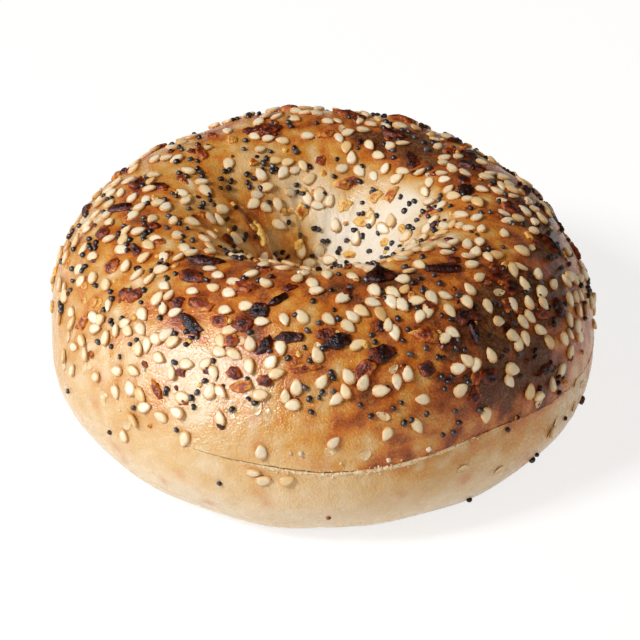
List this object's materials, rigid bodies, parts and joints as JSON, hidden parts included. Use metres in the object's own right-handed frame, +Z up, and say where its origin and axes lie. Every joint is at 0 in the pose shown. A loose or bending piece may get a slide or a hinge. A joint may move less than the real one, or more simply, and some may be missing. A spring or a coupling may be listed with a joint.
{
  "type": "everything bagel",
  "caption": "Round baked bagel with a funnel-shaped hole, its top crusted with sesame, poppy, onion and garlic, sliced level from the front and still joined at one side.",
  "frame": {"origin": "on the flat underside, under the middle of the ring", "axes": "+Z up through the hole, -Y the front with the widest part of the knife cut, +X the right"},
  "size_m": [0.1063, 0.1071, 0.0473],
  "materials": {
    "crust": "baked golden-brown crust, satin, paler towards the base",
    "crumb": "soft pale bread crumb at the knife cut, dull",
    "sesame_seed": "ivory seed coat, slightly oily",
    "poppy_seed": "blue-black pitted seed coat, dull",
    "onion_flake": "toasted dried onion, dark brown, some edges glossy",
    "garlic_flake": "dried garlic, amber, slightly translucent",
    "salt": "white salt crystals"
  },
  "bodies": {
    "root": {"bagel": "crust"}
  },
  "joints": []
}
